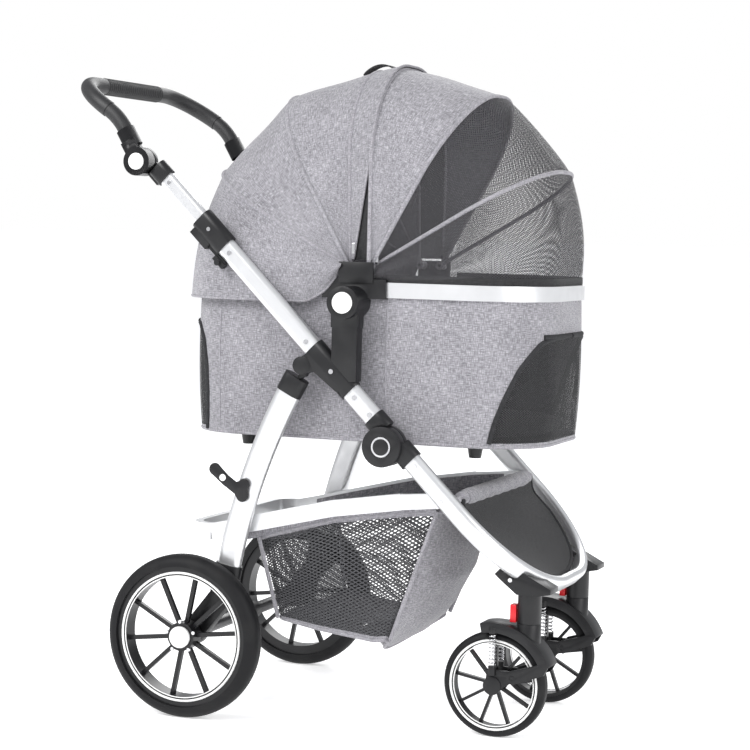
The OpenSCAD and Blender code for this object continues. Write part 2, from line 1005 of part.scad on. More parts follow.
module carrier_hubs() {
  color("#25262A") from_axle() both_sides() {
    difference() {
      union() {
        translate([210, carrier_y + 0.4, 710]) cube([112, 12, 32]);
        disc(hub_at, 27, carrier_y + 0.4, side_y + 27);
        translate([241, side_y - 12, 662.7]) cube([48, 24, 30]);
        translate([252, side_y - 6, 630]) cube([26, 12, 34]);
        translate([240, bow_outer_y + bow_d / 2 + 0.6, 736]) cube([60, 5, 34]);
      }
      disc(hub_at, 17.5 + slide_fit, side_y + 17, side_y + 40);
    }
    for (x = [front_pivot_x, rear_pivot_x])
      disc([x, canopy_z], 3, bow_outer_y - 2 * bow_step - bow_d / 2,
        bow_outer_y + bow_d / 2 + 1);
  }
}

module release_button() {
  from_axle()
    disc(hub_at, 17.5, side_y + 22.5, side_y + 29);
}

module release_button_right() {
  color("#F0F0EE") right_side() release_button();
}

module release_button_left() {
  color("#F0F0EE") release_button();
}

module carrier_base() {
  color("#25262A") from_axle() {
    translate([0, 0, carrier_floor_z - 6]) linear_extrude(5.6) carrier_plan(16);
    for (x = [60, 466])
      both_sides()
        translate([x, carrier_y - 40, carrier_floor_z - 30])
          cylinder(r1 = 10, r2 = 14, h = 25);
  }
}

module cushion() {
  color("#77797D") from_axle()
    translate([0, 0, carrier_floor_z + fabric_t + 0.3])
      linear_extrude(26) carrier_plan(fabric_t + 4);
}

// ---- Canopy ----

module fixed_bows() {
  color("#6E7074") from_axle() {
    hinged_bow(front_pivot_x, 90, bow_outer_y, 333, 165);
    hinged_bow(rear_pivot_x, 151, bow_outer_y, 326, 165);
  }
}

module hood_bow_front() {
  color("#6E7074") from_axle()
    hinged_bow(front_pivot_x, 30.8, bow_outer_y - 2 * bow_step, 320, 150);
}

module hood_bow_middle() {
  color("#6E7074") from_axle()
    hinged_bow(front_pivot_x, 61, bow_outer_y - bow_step, 330, 160);
}

module hood_bow_rear_zip() {
  color("#6E7074") from_axle()
    hinged_bow(rear_pivot_x, 92, bow_outer_y - 2 * bow_step, 330, 155);
}

module hood_bow_rear_middle() {
  color("#6E7074") from_axle()
    hinged_bow(rear_pivot_x, 119, bow_outer_y - bow_step, 328, 160);
}

module front_hood_fabric() {
  color("#8B8D90") from_axle()
    canopy_skin(front_pivot_x, 64.4, 86.6, carrier_y + 1, 329, 160, 70);
}

module front_hood_mesh() {
  color("#1F2022") from_axle() {
    canopy_skin(front_pivot_x, 34.2, 57.6, carrier_y - 5, 321, 152, 70);
    difference() {
      translate([0, 0, rim_top_z + 1]) linear_extrude(230) carrier_plan(1);
      translate([0, 0, rim_top_z - 1]) linear_extrude(240) carrier_plan(3.4);
      translate([-200, -300, rim_top_z - 10]) cube([570, 600, 300]);
      leaning([front_pivot_x, canopy_z - 10], 30.8)
        translate([-300, -500, -400]) cube([600, 1200, 400]);
    }
  }
}

module rear_hood_fabric() {
  color("#8B8D90") from_axle() {
    canopy_skin(rear_pivot_x, 95.4, 115.6, carrier_y + 1, 326, 160, 70);
    canopy_skin(rear_pivot_x, 122.4, 147.6, carrier_y + 1, 324, 160, 70);
    difference() {
      canopy_skin(rear_pivot_x, 154.4, 190, carrier_y + 9, 314, 160, 70);
      translate([0, 0, 600]) linear_extrude(rim_top_z + 1 - 600) carrier_plan(-1.2);
    }
  }
}
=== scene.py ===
# %% [markdown]
# # A folding pet stroller
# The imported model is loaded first. It gives every hard part at its true size, standing on Z = 0.
# The cloth, mesh, springs and trim are then made round it, in metres, in the same frame.

# %% Load the frame and measure it
import bpy
import json
import math
import numpy as np
from mathutils import Matrix, Vector

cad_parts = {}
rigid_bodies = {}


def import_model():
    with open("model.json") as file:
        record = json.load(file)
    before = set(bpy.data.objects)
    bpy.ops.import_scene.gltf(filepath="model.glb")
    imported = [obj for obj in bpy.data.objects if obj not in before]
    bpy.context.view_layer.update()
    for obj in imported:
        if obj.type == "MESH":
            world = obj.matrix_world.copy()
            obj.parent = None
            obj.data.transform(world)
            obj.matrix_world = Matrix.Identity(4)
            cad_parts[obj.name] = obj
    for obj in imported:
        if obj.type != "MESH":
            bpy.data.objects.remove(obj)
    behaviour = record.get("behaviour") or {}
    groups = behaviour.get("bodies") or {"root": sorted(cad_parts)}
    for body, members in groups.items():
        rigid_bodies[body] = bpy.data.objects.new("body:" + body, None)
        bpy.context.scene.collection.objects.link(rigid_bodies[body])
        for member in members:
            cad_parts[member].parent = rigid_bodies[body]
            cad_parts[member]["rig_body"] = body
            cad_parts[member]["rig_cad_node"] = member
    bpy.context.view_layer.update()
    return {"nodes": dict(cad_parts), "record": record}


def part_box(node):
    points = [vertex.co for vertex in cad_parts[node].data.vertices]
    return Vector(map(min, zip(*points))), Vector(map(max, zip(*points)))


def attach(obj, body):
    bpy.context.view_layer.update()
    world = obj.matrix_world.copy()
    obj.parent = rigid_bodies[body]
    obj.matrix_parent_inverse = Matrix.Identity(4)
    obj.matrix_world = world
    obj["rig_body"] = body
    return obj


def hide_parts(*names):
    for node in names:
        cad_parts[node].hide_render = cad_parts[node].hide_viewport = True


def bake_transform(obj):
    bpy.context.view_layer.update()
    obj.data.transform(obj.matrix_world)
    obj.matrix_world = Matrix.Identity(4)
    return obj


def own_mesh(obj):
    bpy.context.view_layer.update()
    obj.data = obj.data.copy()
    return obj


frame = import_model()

TYRE_LOW, TYRE_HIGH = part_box("rear_tyre_left")
AXLE_X = TYRE_LOW[0] + (TYRE_HIGH[0] - TYRE_LOW[0]) / 2
print("rear axle at x =", round(AXLE_X, 4))


def forward(mm):
    """A distance forward of the rear axle, in the frame's metres."""
    return AXLE_X + mm / 1000


# %% [markdown]
# ## Camera
# A long lens from the front right, a little above the wheels. The camera leans by a degree and a half.

# %% Camera
camera_data = bpy.data.cameras.new("camera")
camera_data.lens = 102.93
camera_data.sensor_width = 36
camera_data.shift_y = 0.00096
camera = bpy.data.objects.new("camera", camera_data)
bpy.context.scene.collection.objects.link(camera)
bpy.context.scene.camera = camera
EYE = Vector((1.3892, -3.4584, 0.8223))
AIM = Vector((0.0606, 0.0, 0.5711))
back = (EYE - AIM).normalized()
level = Vector((0, 0, 1)).cross(back).normalized()
upright = back.cross(level)
ROLL = math.radians(1.42)
right = level * math.cos(ROLL) + upright * math.sin(ROLL)
up = upright * math.cos(ROLL) - level * math.sin(ROLL)
camera.matrix_world = Matrix((
    (right.x, up.x, back.x, EYE.x), (right.y, up.y, back.y, EYE.y),
    (right.z, up.z, back.z, EYE.z), (0, 0, 0, 1)))
print("camera", [round(v, 3) for v in EYE])

# %% [markdown]
# ## Light and floor
# One large soft lamp from above left, one weaker from the right, one behind, and a bright even room.
# The floor is plain and pale, and counts as stage, not as part of the stroller.


# %% Lamps, room and floor
def soft_lamp(name, place, aim, size, power):
    data = bpy.data.lights.new(name, "AREA")
    data.size = size
    data.energy = power
    lamp = bpy.data.objects.new(name, data)
    bpy.context.scene.collection.objects.link(lamp)
    lamp.location = place
    lamp.rotation_euler = (Vector(place) - Vector(aim)).to_track_quat("Z", "Y").to_euler()


soft_lamp("key_lamp", (-1.6, -3.0, 3.2), (0, 0, 0.6), 2.0, 150)
soft_lamp("fill_lamp", (3.4, -1.6, 1.8), (0, 0, 0.5), 2.0, 70)
soft_lamp("back_lamp", (-0.5, 3.2, 2.6), (0, 0, 0.6), 2.4, 70)
room = bpy.data.worlds.new("pale_room")
room.use_nodes = True
room_light = room.node_tree.nodes["Background"]
room_light.inputs["Color"].default_value = (0.96, 0.97, 1.0, 1)
room_light.inputs["Strength"].default_value = 0.62
white_view = room.node_tree.nodes.new("ShaderNodeBackground")
white_view.inputs["Color"].default_value = (1.0, 1.0, 1.0, 1)
seen = room.node_tree.nodes.new("ShaderNodeLightPath")
choose = room.node_tree.nodes.new("ShaderNodeMixShader")
room.node_tree.links.new(seen.outputs["Is Camera Ray"], choose.inputs[0])
room.node_tree.links.new(room_light.outputs[0], choose.inputs[1])
room.node_tree.links.new(white_view.outputs[0], choose.inputs[2])
room.node_tree.links.new(choose.outputs[0], room.node_tree.nodes["World Output"].inputs["Surface"])
bpy.context.scene.world = room
bpy.ops.object.select_all(action="DESELECT")
bpy.ops.mesh.primitive_plane_add(size=400, location=(0, 0, 0))
floor = bpy.context.object
floor.name = "studio_floor"
pale = bpy.data.materials.new("pale_floor")
pale.use_nodes = True
pale.node_tree.nodes["Principled BSDF"].inputs["Base Color"].default_value = (0.99, 0.99, 0.99, 1)
pale.node_tree.nodes["Principled BSDF"].inputs["Roughness"].default_value = 0.9
pale.node_tree.nodes["Principled BSDF"].inputs["Emission Color"].default_value = (1, 1, 1, 1)
pale.node_tree.nodes["Principled BSDF"].inputs["Emission Strength"].default_value = 0.42
floor.data.materials.append(pale)
bpy.context.scene.view_settings.view_transform = "Standard"

# %% [markdown]
# ## Finishes
# Effects that several materials share are node groups. Each group reads object or surface coordinates
# and gives out only colours, values and normals that change over the surface.


# %% Helpers for node groups and materials
def start_group(name, inputs, outputs):
    tree = bpy.data.node_groups.new(name, "ShaderNodeTree")
    for label, kind, value in inputs:
        socket = tree.interface.new_socket(label, in_out="INPUT", socket_type=kind)
        if value is not None:
            socket.default_value = value
    for label, kind in outputs:
        tree.interface.new_socket(label, in_out="OUTPUT", socket_type=kind)
    return tree, tree.nodes.new("NodeGroupInput"), tree.nodes.new("NodeGroupOutput")


def node(tree, kind, **settings):
    made = tree.nodes.new(kind)
    for key, value in settings.items():
        setattr(made, key, value)
    return made


def maths(tree, operation, a, b=None):
    made = node(tree, "ShaderNodeMath", operation=operation)
    for socket, value in zip(made.inputs, (a, b)):
        if value is None:
            continue
        if isinstance(value, (int, float)):
            socket.default_value = value
        else:
            tree.links.new(value, socket)
    return made.outputs[0]


def stretched_noise(tree, vector, scale, detail=2.0):
    """Noise on coordinates that are stretched by a different amount each way."""
    mapping = node(tree, "ShaderNodeMapping")
    mapping.inputs["Scale"].default_value = scale
    tree.links.new(vector, mapping.inputs["Vector"])
    noise = node(tree, "ShaderNodeTexNoise")
    noise.inputs["Scale"].default_value = 1.0
    noise.inputs["Detail"].default_value = detail
    tree.links.new(mapping.outputs[0], noise.inputs["Vector"])
    return noise.outputs["Fac"]


def blend_colours(tree, factor, a, b):
    mix = node(tree, "ShaderNodeMix", data_type="RGBA")
    tree.links.new(factor, mix.inputs[0])
    for socket, value in ((mix.inputs[6], a), (mix.inputs[7], b)):
        if isinstance(value, tuple):
            socket.default_value = (*value, 1)
        else:
            tree.links.new(value, socket)
    return mix.outputs[2]


def ramp(tree, value, low, high):
    """Stretches a value between two limits to run from 0 to 1."""
    made = node(tree, "ShaderNodeMapRange")
    tree.links.new(value, made.inputs["Value"])
    made.inputs["From Min"].default_value = low
    made.inputs["From Max"].default_value = high
    return made.outputs[0]


def start_material(name):
    material = bpy.data.materials.new(name)
    material.use_nodes = True
    return material, material.node_tree, material.node_tree.nodes["Principled BSDF"]


def bump(tree, shader, height, strength, distance):
    made = node(tree, "ShaderNodeBump")
    made.inputs["Strength"].default_value = strength
    made.inputs["Distance"].default_value = distance
    tree.links.new(height, made.inputs["Height"])
    tree.links.new(made.outputs[0], shader.inputs["Normal"])


# %% [markdown]
# Heather cloth is woven from light and dark yarn. Up close it is a plain weave with short streaks of
# darker yarn along both directions. The streaks are two stretched noises, the weave two bands of waves.

# %% Heather weave group
group_cloth, gin, gout = start_group("heather_weave", [
    ("Vector", "NodeSocketVector", None), ("Light", "NodeSocketColor", (0.3, 0.3, 0.31, 1)),
    ("Dark", "NodeSocketColor", (0.12, 0.12, 0.125, 1))],
    [("Color", "NodeSocketColor"), ("Rough", "NodeSocketFloat"), ("Height", "NodeSocketFloat")])
across = stretched_noise(group_cloth, gin.outputs["Vector"], (100, 800, 800), 3)
along = stretched_noise(group_cloth, gin.outputs["Vector"], (800, 100, 100), 3)
patches = stretched_noise(group_cloth, gin.outputs["Vector"], (14, 14, 14), 2)
streaks = maths(group_cloth, "MULTIPLY", ramp(group_cloth, across, 0.32, 0.62),
                ramp(group_cloth, along, 0.3, 0.62))
tone = maths(group_cloth, "ADD", maths(group_cloth, "MULTIPLY", streaks, 0.85),
             maths(group_cloth, "MULTIPLY", ramp(group_cloth, patches, 0.3, 0.7), 0.15))
group_cloth.links.new(blend_colours(group_cloth, tone, gin.outputs["Dark"], gin.outputs["Light"]),
                      gout.inputs["Color"])
weave_u = node(group_cloth, "ShaderNodeTexWave", bands_direction="X")
weave_v = node(group_cloth, "ShaderNodeTexWave", bands_direction="Y")
for wave in (weave_u, weave_v):
    wave.inputs["Scale"].default_value = 320
    wave.inputs["Distortion"].default_value = 0.6
    group_cloth.links.new(gin.outputs["Vector"], wave.inputs["Vector"])
thread = maths(group_cloth, "MAXIMUM", weave_u.outputs["Fac"], weave_v.outputs["Fac"])
group_cloth.links.new(maths(group_cloth, "ADD", thread, streaks), gout.inputs["Height"])
group_cloth.links.new(maths(group_cloth, "ADD", maths(group_cloth, "MULTIPLY", streaks, -0.1), 0.95),
                      gout.inputs["Rough"])
print("made", group_cloth.name)

# %% [markdown]
# Moulded plastic has a fine spark-eroded grain, slightly shinier where hands rub it. Anodised tube has
# faint drawn lines along it and small handling marks.

# %% Grain and drawn-metal groups
group_grain, gin, gout = start_group("moulded_grain", [
    ("Vector", "NodeSocketVector", None), ("Base", "NodeSocketColor", (0.02, 0.02, 0.022, 1)),
    ("Dusty", "NodeSocketColor", (0.05, 0.05, 0.052, 1)), ("Gloss", "NodeSocketFloat", 0.45)],
    [("Color", "NodeSocketColor"), ("Rough", "NodeSocketFloat"), ("Height", "NodeSocketFloat")])
grain = stretched_noise(group_grain, gin.outputs["Vector"], (900, 900, 900), 3)
clouds = stretched_noise(group_grain, gin.outputs["Vector"], (22, 22, 22), 3)
group_grain.links.new(blend_colours(group_grain, ramp(group_grain, clouds, 0.45, 0.85), gin.outputs["Base"],
                                    gin.outputs["Dusty"]), gout.inputs["Color"])
group_grain.links.new(maths(group_grain, "ADD", gin.outputs["Gloss"],
                            maths(group_grain, "MULTIPLY", clouds, 0.16)), gout.inputs["Rough"])
group_grain.links.new(grain, gout.inputs["Height"])

group_metal, gin, gout = start_group("drawn_metal", [
    ("Vector", "NodeSocketVector", None), ("Base", "NodeSocketColor", (0.78, 0.79, 0.8, 1)),
    ("Shade", "NodeSocketColor", (0.66, 0.67, 0.69, 1)), ("Gloss", "NodeSocketFloat", 0.3)],
    [("Color", "NodeSocketColor"), ("Rough", "NodeSocketFloat"), ("Height", "NodeSocketFloat")])
lines = stretched_noise(group_metal, gin.outputs["Vector"], (60, 900, 60), 4)
marks = stretched_noise(group_metal, gin.outputs["Vector"], (35, 35, 35), 4)
group_metal.links.new(blend_colours(group_metal, ramp(group_metal, marks, 0.35, 0.75), gin.outputs["Base"],
                                    gin.outputs["Shade"]), gout.inputs["Color"])
group_metal.links.new(maths(group_metal, "ADD", gin.outputs["Gloss"],
                            maths(group_metal, "MULTIPLY", ramp(group_metal, marks, 0.5, 0.8), 0.12)),
                            gout.inputs["Rough"])
group_metal.links.new(lines, gout.inputs["Height"])
print("made", group_grain.name, group_metal.name)


# %% Materials made from the groups
def grouped_material(name, group, colours, settings=(), strength=0.2, distance=0.0004, use_uv=False,
                     **sockets):
    material, tree, shader = start_material(name)
    place = node(tree, "ShaderNodeTexCoord")
    use = node(tree, "ShaderNodeGroup", node_tree=group)
    tree.links.new(place.outputs["UV" if use_uv else "Object"], use.inputs["Vector"])
    for label, colour in colours.items():
        use.inputs[label].default_value = (*colour, 1)
    for label, value in settings:
        use.inputs[label].default_value = value
    tree.links.new(use.outputs["Color"], shader.inputs["Base Color"])
    tree.links.new(use.outputs["Rough"], shader.inputs["Roughness"])
    bump(tree, shader, use.outputs["Height"], strength, distance)
    for label, value in sockets.items():
        shader.inputs[label.replace("_", " ")].default_value = value
    return material


GREY_CLOTH = grouped_material("heather_grey_cloth", group_cloth,
    {"Light": (0.445, 0.435, 0.465), "Dark": (0.12, 0.117, 0.13)}, strength=0.45, use_uv=True,
    Sheen_Weight=0.25)
GREY_BINDING = grouped_material("grey_bound_edge", group_cloth,
    {"Light": (0.4, 0.39, 0.42), "Dark": (0.17, 0.165, 0.18)}, strength=0.35, Sheen_Weight=0.2)
DARK_BINDING = grouped_material("charcoal_bound_edge", group_cloth,
    {"Light": (0.03, 0.03, 0.033), "Dark": (0.01, 0.01, 0.011)}, strength=0.3)
DARK_CLOTH = grouped_material("charcoal_cloth", group_cloth,
    {"Light": (0.03, 0.03, 0.032), "Dark": (0.01, 0.01, 0.011)}, strength=0.3, use_uv=True, Sheen_Weight=0.08)
BLACK_PLASTIC = grouped_material("black_moulded_plastic", group_grain,
    {"Base": (0.008, 0.008, 0.009), "Dusty": (0.016, 0.016, 0.017)}, [("Gloss", 0.3)], strength=0.12,
    Specular_IOR_Level=0.35)
BLACK_SPOKES = grouped_material("satin_black_rim", group_grain,
    {"Base": (0.007, 0.007, 0.008), "Dusty": (0.014, 0.014, 0.015)}, [("Gloss", 0.22)], strength=0.06,
    Specular_IOR_Level=0.35)
WHITE_PLASTIC = grouped_material("white_button_plastic", group_grain,
    {"Base": (0.82, 0.82, 0.81), "Dusty": (0.72, 0.72, 0.71)}, [("Gloss", 0.2)], strength=0.03)
RED_PLASTIC = grouped_material("red_lever_plastic", group_grain,
    {"Base": (0.7, 0.012, 0.02), "Dusty": (0.55, 0.012, 0.02)}, [("Gloss", 0.22)], strength=0.05)
SILVER_TUBE = grouped_material("anodised_tube", group_metal,
    {"Base": (0.73, 0.735, 0.745), "Shade": (0.69, 0.695, 0.705)}, [("Gloss", 0.3)], strength=0.02,
    Metallic=0.8)
BRIGHT_STEEL = grouped_material("bright_steel", group_metal,
    {"Base": (0.7, 0.7, 0.71), "Shade": (0.5, 0.5, 0.52)}, [("Gloss", 0.14)], strength=0.03, Metallic=1.0)
DARK_STEEL = grouped_material("black_axle_paint", group_metal,
    {"Base": (0.02, 0.02, 0.022), "Shade": (0.035, 0.035, 0.037)}, [("Gloss", 0.3)], strength=0.05)
TYRE_RUBBER = grouped_material("black_tyre_rubber", group_grain,
    {"Base": (0.008, 0.008, 0.009), "Dusty": (0.018, 0.018, 0.018)}, [("Gloss", 0.5)], strength=0.3,
    Specular_IOR_Level=0.2)
GRIP_LEATHER = grouped_material("grained_grip", group_grain,
    {"Base": (0.012, 0.012, 0.013), "Dusty": (0.02, 0.02, 0.021)}, [("Gloss", 0.42)], strength=0.5)
CUSHION_CLOTH = grouped_material("cushion_plush", group_cloth,
    {"Light": (0.3, 0.3, 0.31), "Dark": (0.16, 0.16, 0.165)}, strength=0.6, use_uv=True, Sheen_Weight=0.5)


# %% [markdown]
# Mesh is thread and air. The surface has the colour of the thread, and its alpha is 1 on the threads
# and 0 in the holes. Fine netting closes the canopy, and a wider net the basket's sides.

# %% Netting materials
def netting(name, pitch, share, colour):
    material, tree, shader = start_material(name)
    place = node(tree, "ShaderNodeTexCoord")
    masks = []
    for direction in ("DIAGONAL", "X"):
        turn = node(tree, "ShaderNodeMapping")
        turn.inputs["Rotation"].default_value = (0, 0, math.radians(60 if direction == "DIAGONAL" else -60))
        tree.links.new(place.outputs["UV"], turn.inputs["Vector"])
        wave = node(tree, "ShaderNodeTexWave", bands_direction="X")
        wave.inputs["Scale"].default_value = 2 * math.pi / (20 * pitch)
        tree.links.new(turn.outputs[0], wave.inputs["Vector"])
        masks.append(ramp(tree, wave.outputs["Fac"], 1 - share, 1 - share * 0.6))
    thread = maths(tree, "MAXIMUM", masks[0], masks[1])
    tree.links.new(maths(tree, "MINIMUM", thread, 1.0), shader.inputs["Alpha"])
    uneven = stretched_noise(tree, place.outputs["UV"], (260, 260, 260), 2)
    tree.links.new(blend_colours(tree, uneven, colour, tuple(c * 1.8 for c in colour)),
                   shader.inputs["Base Color"])
    shader.inputs["Roughness"].default_value = 0.75
    bump(tree, shader, thread, 0.3, 0.0003)
    return material


FINE_MESH = netting("fine_black_mesh", 0.0026, 0.15, (0.045, 0.044, 0.048))
WINDOW_MESH = netting("dense_black_mesh", 0.0024, 0.40, (0.012, 0.012, 0.013))
WIDE_NET = netting("wide_grey_net", 0.0056, 0.34, (0.035, 0.035, 0.038))
print("made", len(bpy.data.materials), "materials")

# %% [markdown]
# ## Finishes on the hard parts
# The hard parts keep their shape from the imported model. Each takes the material of what it is made of.

# %% Give each hard part its material
SLOT_MATERIAL = {
    "silver_tube": SILVER_TUBE, "black_plastic": BLACK_PLASTIC, "bright_rivets": BRIGHT_STEEL,
    "dark_steel": DARK_STEEL, "grip_leatherette": GRIP_LEATHER, "white_plastic": WHITE_PLASTIC,
    "red_plastic": RED_PLASTIC, "tyre_rubber": TYRE_RUBBER, "grey_fabric": GREY_BINDING,
    "grey_cushion": CUSHION_CLOTH, "dark_fabric": DARK_CLOTH, "black_mesh": FINE_MESH}
slots = {part["node"]: part["material_slot"] for part in frame["record"]["subparts"]}
for name, part in frame["nodes"].items():
    part.data.materials.clear()
    part.data.materials.append(SLOT_MATERIAL[slots[name]])
    if "rim" in name and "carrier" not in name:
        part.data.materials[0] = BLACK_SPOKES
bpy.ops.object.select_all(action="DESELECT")
print("painted", len(frame["nodes"]), "hard parts")

# %% [markdown]
# ## Sheets of cloth
# A canopy, bag or wall is one curved sheet. It starts as a flat grid, and each row of the grid is laid
# along a rib: a bow, a hem or a rail. Coordinates across the cloth are kept in metres as its UV map, so
# that weave and netting follow the surface at their true size.


# %% Helpers for sheets and tubes
def spread(points, count):
    """The same path with evenly spaced points."""
    points = np.array(points, float)
    steps = np.r_[0, np.cumsum(np.linalg.norm(np.diff(points, axis=0), axis=1))]
    where = np.linspace(0, steps[-1], count)
    return np.stack([np.interp(where, steps, points[:, k]) for k in range(3)], 1)


def lay_sheet(name, rows, materials, body=None, thickness=0.0016, closed=False, chooser=None):
    """Lays a grid along rows of points, gives it a UV map in metres and a thickness."""
    rows = np.array(rows)
    count_v, count_u = rows.shape[:2]
    bpy.ops.object.select_all(action="DESELECT")
    bpy.ops.mesh.primitive_grid_add(x_subdivisions=count_u - 1, y_subdivisions=count_v - 1, size=1)
    sheet = bpy.context.object
    sheet.name = sheet.data.name = name
    sheet.data.vertices.foreach_set("co", rows.reshape(-1).astype(np.float32))
    step_u = np.linalg.norm(np.diff(rows, axis=1), axis=2).mean(0)
    step_v = np.linalg.norm(np.diff(rows, axis=0), axis=2).mean(1)
    at_u, at_v = np.r_[0, np.cumsum(step_u)], np.r_[0, np.cumsum(step_v)]
    uv = sheet.data.uv_layers.active or sheet.data.uv_layers.new(name="cloth")
    loops = np.zeros(len(sheet.data.loops), int)
    sheet.data.loops.foreach_get("vertex_index", loops)
    corners = np.stack([at_u[loops % count_u], at_v[loops // count_u]], 1)
    uv.data.foreach_set("uv", corners.reshape(-1).astype(np.float32))
    for material in materials:
        sheet.data.materials.append(material)
    if chooser:
        for face in sheet.data.polygons:
            face.material_index = chooser(face.center, face.index % (count_u - 1),
                                          face.index // (count_u - 1))
    sheet.data.update()
    if closed:
        bpy.ops.object.mode_set(mode="EDIT")
        bpy.ops.mesh.select_all(action="SELECT")
        bpy.ops.mesh.remove_doubles(threshold=0.00005)
        bpy.ops.mesh.normals_make_consistent(inside=False)
        bpy.ops.object.mode_set(mode="OBJECT")
    if thickness:
        wall = sheet.modifiers.new("thickness", "SOLIDIFY")
        wall.thickness = thickness
        wall.offset = 0
        bpy.ops.object.modifier_apply(modifier=wall.name)
    bpy.ops.object.shade_smooth_by_angle(angle=math.radians(50))
    if body:
        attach(sheet, body)
    print("laid", name, len(sheet.data.polygons), "faces")
    return sheet


def tube_along(name, points, radius, material, body=None, loop=False, sides=4):
    """A round cord of cloth or metal along a path, made as a curve and turned into a mesh."""
    data = bpy.data.curves.new(name, "CURVE")
    data.dimensions = "3D"
    data.bevel_depth = radius
    data.bevel_resolution = sides
    data.use_fill_caps = True
    line = data.splines.new("POLY")
    line.points.add(len(points) - 1)
    for spot, place in zip(line.points, points):
        spot.co = (*place, 1)
    line.use_cyclic_u = loop
    tube = bpy.data.objects.new(name, data)
    bpy.context.scene.collection.objects.link(tube)
    bpy.ops.object.select_all(action="DESELECT")
    tube.select_set(True)
    bpy.context.view_layer.objects.active = tube
    bpy.ops.object.convert(target="MESH")
    tube = bpy.context.object
    tube.name = tube.data.name = name
    tube.data.materials.clear()
    tube.data.materials.append(material)
    bpy.ops.object.shade_smooth_by_angle(angle=math.radians(50))
    if body:
        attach(tube, body)
    return tube


def join_pieces(name, parts):
    bpy.ops.object.select_all(action="DESELECT")
    for part in parts:
        part.select_set(True)
    bpy.context.view_layer.objects.active = parts[0]
    bpy.ops.object.join()
    parts[0].name = parts[0].data.name = name
    return parts[0]


# %% [markdown]
# ## Canopy
# Six bows carry the canopy. Each bow is a U that stands on a pivot by the rim. Between two bows the
# cloth is laid on in-between bows, pulled in a little halfway as tight cloth is.

# %% Bow curves
PIVOT_Z = 0.762
FRONT_PIVOT, REAR_PIVOT = forward(289), forward(251)
COUNT_ACROSS = 97


def bow_curve(pivot, angle, half_width, reach, bend, foot=0.012, count=COUNT_ACROSS):
    turn = np.linspace(0, math.pi / 2, 20)
    side = [(-half_width, foot), (-half_width, reach - bend)]
    side += [(-(half_width - bend) - bend * math.cos(t), reach - bend + bend * math.sin(t)) for t in turn]
    outline = np.array(side + [(-y, r) for y, r in side[::-1]])
    c, s = math.cos(math.radians(angle)), math.sin(math.radians(angle))
    return spread([(pivot + r * c, y, PIVOT_Z + r * s) for y, r in outline], count)


BOWS = {
    "front_zip": (FRONT_PIVOT, 90.0, 0.1845, 0.333, 0.165),
    "middle": (FRONT_PIVOT, 61.0, 0.176, 0.330, 0.160),
    "front": (FRONT_PIVOT, 30.8, 0.1675, 0.320, 0.150),
    "rear_zip": (REAR_PIVOT, 92.0, 0.1675, 0.330, 0.155),
    "rear_middle": (REAR_PIVOT, 119.0, 0.176, 0.328, 0.160),
    "rear": (REAR_PIVOT, 151.0, 0.1845, 0.326, 0.165)}


def between_bows(a, b, steps, sag):
    """Rows of cloth from one bow to the next, pulled in halfway."""
    rows = []
    for part in np.linspace(0, 1, steps):
        mixed = [x + (y - x) * part for x, y in zip(BOWS[a], BOWS[b])]
        mixed[3] *= 1 - sag * math.sin(math.pi * part)
        mixed[2] *= 1 - 0.4 * sag * math.sin(math.pi * part)
        rows.append(bow_curve(*mixed))
    return rows


def wrinkle(rows, size, seed):
    """Small soft waves, so that the cloth isn't machine-flat."""
    rows = np.array(rows)
    v, u = np.mgrid[0:rows.shape[0], 0:rows.shape[1]]
    rng = np.random.default_rng(seed)
    wave = sum(np.sin(u * rng.uniform(0.05, 0.3) + v * rng.uniform(0.1, 0.5) + rng.uniform(0, 6))
               for _ in range(5)) / 5
    edge = np.sin(np.pi * v / (rows.shape[0] - 1)) * np.sin(np.pi * u / (rows.shape[1] - 1)) ** 0.5
    centre = np.array([forward(265), 0, PIVOT_Z])
    out = rows - centre
    out /= np.linalg.norm(out, axis=2, keepdims=True)
    return rows + out * (wave * edge * size)[..., None]


# %% Front hood: cloth between the zip bow and the middle bow
front_rows = wrinkle(between_bows("front_zip", "middle", 21, 0.024), 0.0022, 3)
front_cloth = lay_sheet("front_hood_cloth", front_rows, [GREY_CLOTH])
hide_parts("front_hood_fabric")
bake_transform(front_cloth)

# %% Front hood: netting between the middle bow and the front bow
net_rows = np.array(between_bows("middle", "front", 21, 0.02))
net_top = lay_sheet("canopy_netting", net_rows, [FINE_MESH], thickness=0.0008)
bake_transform(net_top)


# %% [markdown]
# The netting in front drops from the front bow to the rim. Its lower edge follows the rounded plan of
# the rim, so it is laid between that edge and the bow. It moves with the front hood as one rigid piece.

# %% Front netting
CARRIER_FRONT, CARRIER_BACK = forward(576), forward(-56)
PLAN_R, HALF = 0.118, 0.178


def plan_curve(grow, z, start_x, count, front=True):
    """Half of the carrier's rounded plan, from the right side round one end to the left side."""
    end = (CARRIER_FRONT + grow) if front else (CARRIER_BACK - grow)
    way = 1 if front else -1
    half, r = HALF + grow, PLAN_R + grow
    turn = np.linspace(0, math.pi / 2, 24)
    side = [(start_x, -half)]
    side += [(end - way * (r - r * math.sin(t)), -(half - r) - r * math.cos(t)) for t in turn]
    return spread([(x, y, z) for x, y in side + [(x, -y) for x, y in side[::-1]]], count)


